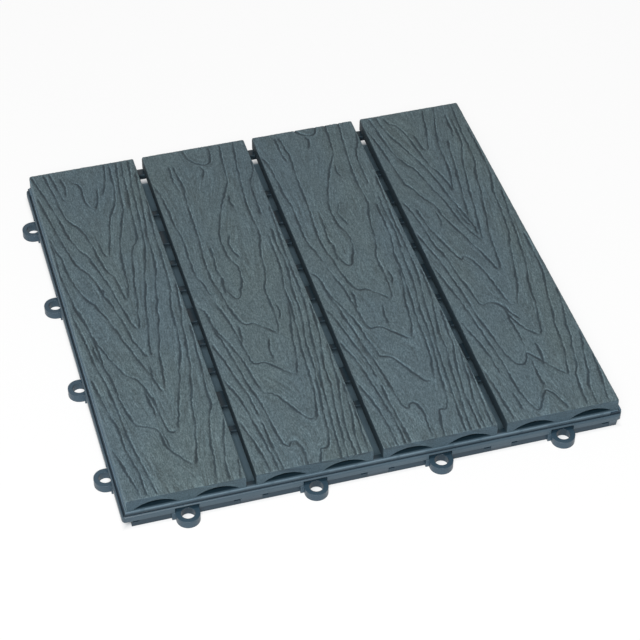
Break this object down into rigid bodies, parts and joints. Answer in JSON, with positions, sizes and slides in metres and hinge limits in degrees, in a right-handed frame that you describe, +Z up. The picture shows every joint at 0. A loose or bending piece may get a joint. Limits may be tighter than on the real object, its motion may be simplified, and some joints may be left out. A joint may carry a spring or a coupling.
{
  "type": "interlocking deck tile",
  "caption": "Square outdoor deck tile of wood-grained composite slats screwed to a moulded plastic grid, with edge loops and pegs that lock neighbouring tiles together.",
  "frame": {"origin": "centre of the tile's 300 mm laying pitch, in the plane it rests on", "axes": "+X across the slats towards the right-hand pegs, +Y along the slats away from the front loops, +Z up"},
  "size_m": [0.3105, 0.3105, 0.02],
  "materials": {
    "base": "satin moulded polypropylene, dark slate",
    "slat": "wood-plastic composite with embossed wood grain, blue grey",
    "screw": "plain stainless steel"
  },
  "bodies": {
    "root": {"base_grid": "base", "deck_slat_1": "slat", "deck_slat_2": "slat", "deck_slat_3": "slat", "deck_slat_4": "slat", "slat_screws": "screw"}
  },
  "joints": []
}
